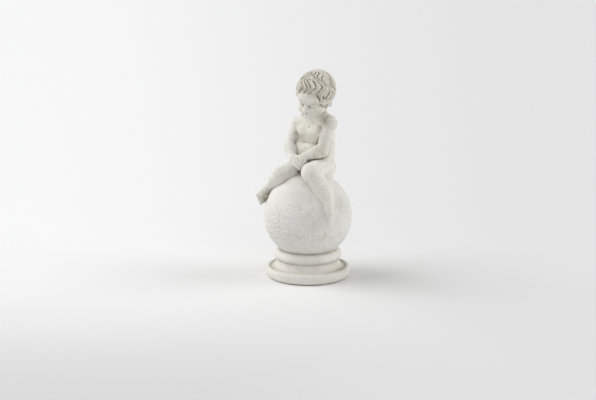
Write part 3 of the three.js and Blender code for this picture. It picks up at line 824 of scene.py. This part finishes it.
def soiled(clay, form, mesh):
    """Marks each corner of the mesh with how deep in a groove or a hollow it lies, what covers it, and
    where shade is painted in gaps, creases and along the bottom edge.
    """
    places = np.empty(3 * len(mesh.vertices), np.float32)
    mesh.vertices.foreach_get("co", places)
    places = places.reshape(-1, 3) / MM
    marks = {}
    for name, width in HOLLOW_WIDTHS.items():
        cells = max(1, round(width / clay.step))
        around = averaged(np.clip(form.values, -width, width), cells)
        marks[name] = -sampled(clay, form, around, places) / width
    off_ball = np.linalg.norm(places - (0, 0, BALL_CENTRE_Z), axis=1) - BALL_RADIUS
    on_legs = np.clip(off_ball / LEG_FADE, 0, 1) * (places[:, 2] > BALL_CENTRE_Z)
    marks["soil"] = np.maximum(np.interp(places[:, 2], *zip(*SOIL)), SOIL_ON_LEGS * on_legs)
    marks["stipple"] = np.clip(STIPPLE_MARK_REACH - np.abs(off_ball), 0, 1) * stippled(places[:, 2])
    from_skull = places - on_head(*SKULL_CENTRE)
    near = np.linalg.norm(from_skull, axis=1) < 2 * SKULL_RADII[0]
    marks["hair"] = np.clip((HAIR_END - scalp_reach(*from_skull.T)) / HAIR_FADE, 0, 1) * near
    out = np.hypot(places[:, 0], places[:, 1])
    # Brown film, and painted shade in gaps, creases, on the left shoulder and along the bottom edge
    marks["grime_and_painted_shade"] = np.zeros(len(places))
    for where, wide, strong in GRIME_AND_PAINTED_SHADE:
        marks["grime_and_painted_shade"] += strong * np.exp(-np.square((places - where) / wide).sum(axis=1))
    for radius, height, wide, strong in GRIME_RINGS_AND_PAINTED_SHADE:
        away = np.square(out - radius) + np.square(places[:, 2] - height)
        marks["grime_and_painted_shade"] += strong * np.exp(-away / wide**2)
    for name, values in marks.items():
        mesh.attributes.new(name, "FLOAT", "POINT").data.foreach_set("value", values.astype(np.float32))


class Nodes:
    """Adds nodes to a material, each with its settings, its inputs and its links."""

    def __init__(self, material):
        self.tree = material.node_tree

    def add(self, kind, settings=None, **inputs):
        node = self.tree.nodes.new(kind)
        for name, value in (settings or {}).items():
            setattr(node, name, value)
        for name, value in inputs.items():
            self.feed(self.socket(node, name), value)
        return node

    def feed(self, socket, value):
        """Links a socket to what another node gives, or sets its value."""
        if isinstance(value, bpy.types.NodeSocket):
            self.tree.links.new(value, socket)
        else:
            socket.default_value = value

    def socket(self, node, name):
        wanted = name.replace("_", " ").lower()
        return next(s for s in node.inputs if s.enabled and s.name.lower() == wanted)

    def mark(self, name):
        """What the corners of the mesh are marked with, under a name."""
        return self.add("ShaderNodeAttribute", {"attribute_name": name}).outputs["Fac"]

    def noise(self, place, scale, detail, rough):
        node = self.add("ShaderNodeTexNoise", vector=place, scale=scale, detail=detail, roughness=rough)
        return node.outputs["Fac"]

    def ramp(self, value, low, high, start=0.0, end=1.0, kind="SMOOTHSTEP"):
        """A value that goes from start to end while another goes from low to high."""
        node = self.add("ShaderNodeMapRange", {"interpolation_type": kind}, value=value)
        for name, number in zip(("From Min", "From Max", "To Min", "To Max"), (low, high, start, end)):
            node.inputs[name].default_value = number
        return node.outputs["Result"]

    def math(self, operation, a, b):
        node = self.add("ShaderNodeMath", {"operation": operation})
        for socket, value in zip(node.inputs, (a, b)):
            self.feed(socket, value)
        return node.outputs["Value"]

    def mix(self, share, first, second, kind="MIX"):
        node = self.add("ShaderNodeMix", {"data_type": "RGBA", "blend_type": kind}, factor=share)
        for name, value in (("a", first), ("b", second)):
            plain = not isinstance(value, bpy.types.NodeSocket)
            self.feed(self.socket(node, name), (*value, 1) if plain else value)
        return next(s for s in node.outputs if s.enabled)


# What the corners of the casting are marked with
MARKS = ("groove", "hollow", "soil", "hair", "grime_and_painted_shade", "stipple")


def stone(settings):
    """Weathered cast stone: pale, with grey soiling, warm stains, dark grooves and a fine grain, and with
    shade painted into gaps, creases and along the bottom edge.
    """
    material = bpy.data.materials.new("weathered_cast_stone")
    material.use_nodes = True
    nodes = Nodes(material)
    shader = material.node_tree.nodes["Principled BSDF"]
    place = nodes.add("ShaderNodeTexCoord").outputs["Object"]
    groove, hollow, soil, hair, grime_and_painted_shade, stipple = (nodes.mark(name) for name in MARKS)
    blotches = nodes.noise(place, 14, 5, 0.6)
    patches = nodes.noise(place, 45, 4, 0.6)
    mottle = nodes.noise(place, 105, 6, 0.7)
    pebbles = nodes.noise(place, 230, 2, 0.5)
    sand = nodes.noise(place, 420, 4, 0.7)

    colour = nodes.mix(nodes.ramp(blotches, 0.42, 0.72), settings.pale, settings.grey)
    colour = nodes.mix(nodes.ramp(patches, 0.5, 0.8, 0, 0.5), colour, settings.warm)
    creamy = nodes.math("MULTIPLY", soil, nodes.ramp(patches, 0.35, 0.65, 0.15, 0.75))
    colour = nodes.mix(creamy, colour, settings.cream)
    mottled = nodes.math("MULTIPLY", soil, nodes.ramp(mottle, 0.48, 0.7, 0, 0.6))
    colour = nodes.mix(mottled, colour, settings.warm)
    washed = nodes.math("MULTIPLY", hair, nodes.ramp(patches, 0.3, 0.7, 0.35, 0.85))
    colour = nodes.mix(washed, colour, settings.warm)
    # Brown film, and painted shade in gaps, creases, on the left shoulder and along the bottom edge
    filmed_and_shaded = nodes.math("MULTIPLY", grime_and_painted_shade, nodes.ramp(patches, 0.25, 0.65, 0.4, 1.0))
    colour = nodes.mix(filmed_and_shaded, colour, settings.film_and_painted_shade)
    # Where the grime mark is strongest, the darkest colour: painted shade in the deepest gaps, on the left
    # shoulder and along the bottom edge
    colour = nodes.mix(nodes.ramp(grime_and_painted_shade, 0.8, 1.8), colour, settings.dirt_and_painted_shade)
    stained = nodes.math("MULTIPLY", nodes.ramp(hollow, 0.02, 0.28), nodes.ramp(patches, 0.3, 0.6, 0.45, 1))
    colour = nodes.mix(nodes.math("MULTIPLY", stained, soil), colour, settings.warm)
    dirty = nodes.math("MULTIPLY", nodes.ramp(groove, 0.06, 0.3), nodes.ramp(patches, 0.25, 0.55, 0.65, 1))
    colour = nodes.mix(nodes.math("MULTIPLY", dirty, soil), colour, settings.dirt_and_painted_shade)
    worn = nodes.ramp(groove, -0.08, -0.3, 0, 0.6)
    colour = nodes.mix(worn, colour, settings.pale)
    speckle = nodes.ramp(sand, 0.25, 0.75, 0.9, 1.06, "LINEAR")
    grey = nodes.add("ShaderNodeCombineColor", red=speckle, green=speckle, blue=speckle).outputs["Color"]
    colour = nodes.mix(1.0, colour, grey, "MULTIPLY")

    height = nodes.math("MULTIPLY", pebbles, stipple)
    cast = nodes.add("ShaderNodeBump", height=height, strength=0.9, distance=3 * MM).outputs["Normal"]
    bump = nodes.add("ShaderNodeBump", height=sand, strength=0.35, distance=settings.grain, normal=cast)
    nodes.feed(shader.inputs["Base Color"], colour)
    nodes.feed(shader.inputs["Roughness"], nodes.ramp(patches, 0.3, 0.7, 0.8, 0.95))
    nodes.feed(shader.inputs["Normal"], bump.outputs["Normal"])
    shader.inputs["Specular IOR Level"].default_value = 0.3
    return material


def paper(settings):
    """The pale floor, with light and shade painted into its colour: brightest far off to the left and
    greyer in front and to the right.
    """
    material = bpy.data.materials.new("pale_paper_painted_light")
    material.use_nodes = True
    nodes = Nodes(material)
    shader = material.node_tree.nodes["Principled BSDF"]
    place = nodes.add("ShaderNodeTexCoord").outputs["Object"]
    across, away, _ = nodes.add("ShaderNodeSeparateXYZ", vector=place).outputs
    fan = nodes.math("DIVIDE", across, nodes.math("ADD", away, settings.distance))
    # Painted light far off to the left, painted shade to the right
    colour = nodes.mix(nodes.ramp(fan, -0.24, 0.20), settings.floor_painted_light, settings.floor_painted_shade)
    # Painted shade on the floor in front
    near = nodes.math("MULTIPLY", nodes.ramp(away, -0.05, -0.85), nodes.ramp(fan, 0.22, -0.1, 0.3, 1))
    colour = nodes.mix(near, colour, settings.floor_painted_shade_in_front)
    nodes.feed(shader.inputs["Base Color"], colour)
    shader.inputs["Roughness"].default_value = 0.9
    return material


class STATUE_PG_form(bpy.types.PropertyGroup):
    """Sizes and colours of the casting"""

    grid: FloatProperty(
        name="Grid",
        description="Spacing of the grid that the figure is modelled on",
        default=1.1 * MM,
        min=0.5 * MM,
        unit="LENGTH",
    )
    triangles: IntProperty(
        name="Triangles",
        description="Most triangles in the finished casting",
        default=195000,
        min=10000,
    )
    dents: FloatProperty(
        name="Dents",
        description="Depth of the slow dents in the skin",
        default=0.45 * MM,
        min=0,
        unit="LENGTH",
    )
    stipple: FloatProperty(
        name="Stipple",
        description="Depth of the stipple on the ball",
        default=2.2 * MM,
        min=0,
        unit="LENGTH",
    )
    holes: IntProperty(
        name="Air Holes",
        description="Number of small air holes in the skin",
        default=110,
        min=0,
    )
    grain: FloatProperty(
        name="Grain",
        description="Depth of the sandy grain",
        default=0.5 * MM,
        min=0,
        unit="LENGTH",
    )
    pale: FloatVectorProperty(
        name="Pale Stone",
        description="Colour of clean stone",
        default=(0.76, 0.75, 0.715),
        subtype="COLOR",
    )
    grey: FloatVectorProperty(
        name="Grey Stone",
        description="Colour of soiled stone",
        default=(0.69, 0.68, 0.645),
        subtype="COLOR",
    )
    cream: FloatVectorProperty(
        name="Cream Stone",
        description="Colour of the warm wash over the child and the foot",
        default=(0.765, 0.745, 0.665),
        subtype="COLOR",
    )
    warm: FloatVectorProperty(
        name="Warm Stain",
        description="Colour of the brown stains in hollows",
        default=(0.54, 0.50, 0.42),
        subtype="COLOR",
    )
    # The brown film colour also paints shade in gaps and creases
    film_and_painted_shade: FloatVectorProperty(
        name="Brown Film",
        description="Colour of the brown film that has settled in places",
        default=(0.40, 0.36, 0.29),
        subtype="COLOR",
    )
    # The dirt colour also paints the darkest shade in gaps, on the left shoulder and along the bottom edge
    dirt_and_painted_shade: FloatVectorProperty(
        name="Dirt",
        description="Colour of the dirt in deep grooves",
        default=(0.20, 0.17, 0.13),
        subtype="COLOR",
    )


class STATUE_PG_stage(bpy.types.PropertyGroup):
    """The camera, the floor and the light from all round"""

    azimuth: FloatProperty(
        name="Azimuth",
        description="Angle of the camera round the statue, from its front",
        default=math.radians(35),
        subtype="ANGLE",
    )
    elevation: FloatProperty(
        name="Elevation",
        description="Angle at which the camera looks down",
        default=math.radians(12.5),
        subtype="ANGLE",
    )
    distance: FloatProperty(
        name="Distance",
        description="Distance from the camera to the statue",
        default=2.967,
        unit="LENGTH",
    )
    lens: FloatProperty(
        name="Lens",
        description="Focal length of the camera",
        default=70,
        unit="CAMERA",
    )
    target_height: FloatProperty(
        name="Target Height",
        description="Height of the place that the camera looks at",
        default=0.198,
        unit="LENGTH",
    )
    target_shift: FloatProperty(
        name="Target Shift",
        description="How far to its right the camera looks past the axis",
        default=-0.0256,
        unit="LENGTH",
    )
    surround: FloatProperty(
        name="Surround",
        description="Strength of the white light from all round",
        default=0.40,
        min=0,
    )
    # The floor's colours are painted light and shade, from bright far off to the left to greyer in front
    # and to the right
    floor_painted_light: FloatVectorProperty(
        name="Bright Floor",
        description="Colour of the floor far off to the left",
        default=(0.885, 0.885, 0.885),
        subtype="COLOR",
    )
    floor_painted_shade: FloatVectorProperty(
        name="Grey Floor",
        description="Colour of the floor to the right",
        default=(0.73, 0.73, 0.73),
        subtype="COLOR",
    )
    floor_painted_shade_in_front: FloatVectorProperty(
        name="Near Floor",
        description="Colour of the floor in front",
        default=(0.66, 0.66, 0.66),
        subtype="COLOR",
    )


FLOOR_REACH = 40
LAMP_DISTANCE = 2
# Lamps: angle from the camera's side of the statue, height, strength and spread, all angles in degrees
LAMPS = {
    "key": (-90, 48, 1.52, 45),
    "wing": (-120, 22, 0.73, 45),
    "rim": (92, 22, 1.40, 45),
    "fill": (10, 20, 0.48, 60),
}


def way_to(azimuth, elevation):
    """The direction from the statue to a place round it and above it."""
    level = math.cos(elevation)
    return Vector((math.sin(azimuth) * level, -math.cos(azimuth) * level, math.sin(elevation)))


def lay_floor(scene, settings):
    corners = [(FLOOR_REACH * x, FLOOR_REACH * y, 0) for x, y in ((-1, -1), (1, -1), (1, 1), (-1, 1))]
    mesh = bpy.data.meshes.new("floor")
    mesh.from_pydata(corners, [], [(0, 1, 2, 3)])
    mesh.materials.append(paper(settings))
    floor = bpy.data.objects.new("floor", mesh)
    floor.rotation_euler.z = settings.azimuth
    scene.collection.objects.link(floor)
    floor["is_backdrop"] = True


def set_camera(scene, settings):
    back = way_to(settings.azimuth, settings.elevation)
    right = Vector((math.cos(settings.azimuth), math.sin(settings.azimuth), 0))
    target = Vector((0, 0, settings.target_height)) + right * settings.target_shift
    data = bpy.data.cameras.new("camera")
    data.lens = settings.lens
    camera = bpy.data.objects.new("camera", data)
    camera.location = target + back * settings.distance
    camera.rotation_euler = (-back).to_track_quat("-Z", "Y").to_euler()
    scene.collection.objects.link(camera)
    scene.camera = camera


def light_studio(scene, settings):
    """White light from all round, and wide soft lamps."""
    world = bpy.data.worlds.new("studio")
    world.use_nodes = True
    around = world.node_tree.nodes["Background"]
    around.inputs["Color"].default_value = (1, 1, 1, 1)
    around.inputs["Strength"].default_value = settings.surround
    scene.world = world
    for name, (side, rise, strength, spread) in LAMPS.items():
        lamp = bpy.data.lights.new(name, "SUN")
        lamp.energy = strength
        lamp.angle = math.radians(spread)
        light = bpy.data.objects.new(name, lamp)
        way = way_to(settings.azimuth + math.radians(side), math.radians(rise))
        light.rotation_euler = way.to_track_quat("Z", "Y").to_euler()
        light.location = way * LAMP_DISTANCE
        scene.collection.objects.link(light)


class STATUE_OT_cast(bpy.types.Operator):
    """Cast the seated child, the ball and the foot in one piece"""

    bl_idname = "statue.cast"
    bl_label = "Cast the Angel"

    def execute(self, context):
        settings = context.scene.statue_form
        clay = Clay(1 * settings.grid / MM)
        skin = weathered(clay, statue(clay), settings)
        mesh = meshed(clay, skin, "cast_angel")
        piece = bpy.data.objects.new("cast_angel", mesh)
        context.scene.collection.objects.link(piece)
        thinned(piece, settings.triangles)
        one_skin(piece.data)
        soiled(clay, skin, piece.data)
        piece.data.polygons.foreach_set("use_smooth", [True] * len(piece.data.polygons))
        piece.data.materials.append(stone(settings))
        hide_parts(NODE)
        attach(piece, "root")
        return {"FINISHED"}


class STATUE_OT_stage(bpy.types.Operator):
    """Set the floor, the lights and the camera"""

    bl_idname = "statue.stage"
    bl_label = "Set the Stage"

    def execute(self, context):
        settings = context.scene.statue_stage
        lay_floor(context.scene, settings)
        set_camera(context.scene, settings)
        light_studio(context.scene, settings)
        context.scene.view_settings.view_transform = "Standard"
        return {"FINISHED"}


class STATUE_PT_panel(bpy.types.Panel):
    bl_label = "Grave Angel"
    bl_idname = "STATUE_PT_panel"
    bl_space_type = "VIEW_3D"
    bl_region_type = "UI"
    bl_category = "Statue"

    def draw(self, context):
        groups = {STATUE_OT_stage: context.scene.statue_stage, STATUE_OT_cast: context.scene.statue_form}
        for operator, settings in groups.items():
            self.layout.operator(operator.bl_idname)
            for name in type(settings).__annotations__:
                self.layout.prop(settings, name)


CLASSES = (STATUE_PG_form, STATUE_PG_stage, STATUE_OT_cast, STATUE_OT_stage, STATUE_PT_panel)


def register():
    for cls in CLASSES:
        bpy.utils.register_class(cls)
    bpy.types.Scene.statue_form = PointerProperty(type=STATUE_PG_form)
    bpy.types.Scene.statue_stage = PointerProperty(type=STATUE_PG_stage)


def unregister():
    del bpy.types.Scene.statue_stage
    del bpy.types.Scene.statue_form
    for cls in reversed(CLASSES):
        bpy.utils.unregister_class(cls)


def main():
    register()
    bpy.ops.statue.stage()
    bpy.ops.statue.cast()
    boxes = {"cad": CAD_BOX, "visual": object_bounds()}
    {name: [list(corner) for corner in box] for name, box in boxes.items()}


if __name__ == "__main__":
    main()
